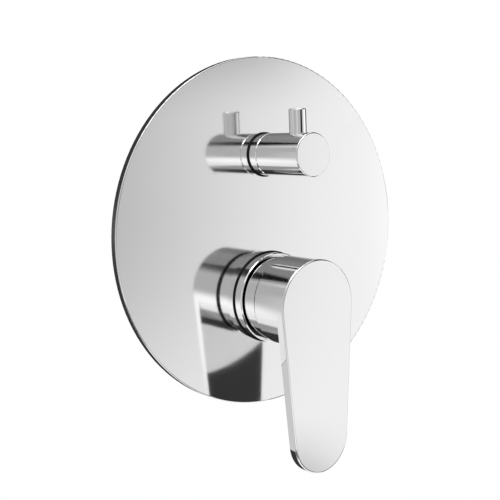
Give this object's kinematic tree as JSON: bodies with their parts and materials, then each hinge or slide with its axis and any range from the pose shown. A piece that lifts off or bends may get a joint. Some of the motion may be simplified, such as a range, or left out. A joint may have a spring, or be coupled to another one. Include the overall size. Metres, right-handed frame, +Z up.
{
  "type": "concealed shower mixer",
  "caption": "Wall-concealed single-lever shower mixer with a round chrome trim plate, a flat lever handle and a turning diverter knob with a finger pin.",
  "frame": {"origin": "centre of the trim plate, on the finished wall that the plate's rim meets", "axes": "+Z up, +X to the right seen from the front, -Y out of the wall towards the user, +Y into the wall"},
  "size_m": [0.18, 0.093, 0.21],
  "materials": {
    "polished_chrome": "polished chrome plate",
    "brass": "cast and machined brass",
    "black_rubber": "matt black rubber",
    "foam": "fine closed-cell foam",
    "fibre": "pressed fibre",
    "cartridge_plastic": "moulded plastic",
    "plug_plastic": "grey moulded plastic",
    "ceramic": "lapped ceramic",
    "steel": "plain steel"
  },
  "bodies": {
    "valve_set": {"wall_plate": "polished_chrome", "plate_foam_seal": "foam", "hub_sleeve": "polished_chrome", "hub_seal_ring": "black_rubber", "sleeve_o_ring": "black_rubber", "cap_ring": "polished_chrome", "cartridge_nut": "brass", "cartridge_housing": "cartridge_plastic", "cartridge_base": "cartridge_plastic", "cartridge_base_seals": "black_rubber", "fixed_disc": "ceramic", "diverter_sleeve": "polished_chrome", "diverter_seal_ring": "black_rubber", "diverter_headwork": "brass", "headwork_gasket": "fibre", "diverter_fixed_disc": "ceramic", "diverter_bottom_seal": "black_rubber", "valve_body": "brass"},
    "rotor_set": {"cartridge_rotor": "cartridge_plastic", "stem_pivot_pin": "steel"},
    "lever_set": {"lever": "polished_chrome", "lever_grub_screw": "steel", "lever_screw_plug": "plug_plastic", "lever_stem": "brass"},
    "disc_set": {"disc_carrier": "cartridge_plastic", "moving_disc": "ceramic"},
    "diverter_set": {"diverter_knob": "polished_chrome", "diverter_pin": "polished_chrome", "knob_grub_screw": "steel", "diverter_spindle": "brass", "spindle_o_rings": "black_rubber", "spindle_clip": "steel", "diverter_moving_disc": "ceramic"}
  },
  "joints": [
    {"name": "lever_turn", "type": "hinge", "parent": "valve_set", "child": "rotor_set", "pos_m": [0, -0.01, -0.034], "axis": [0, -1, 0], "range_deg": [-45, 45]},
    {"name": "lever_tilt", "type": "hinge", "parent": "rotor_set", "child": "lever_set", "pos_m": [0, -0.01, -0.034], "axis": [-1, 0, 0], "range_deg": [0, 20]},
    {"name": "disc_slide", "type": "slide", "parent": "rotor_set", "child": "disc_set", "axis": [0, 0, -1], "range_m": [0, 0.0045]},
    {"name": "diverter_turn", "type": "hinge", "parent": "valve_set", "child": "diverter_set", "pos_m": [0, -0.03, 0.0402], "axis": [0, -1, 0], "range_deg": [-45, 45]}
  ],
  "couplings": [
    {"joint": "disc_slide", "follows": "lever_tilt", "m_per_rad": 0.012836}
  ]
}
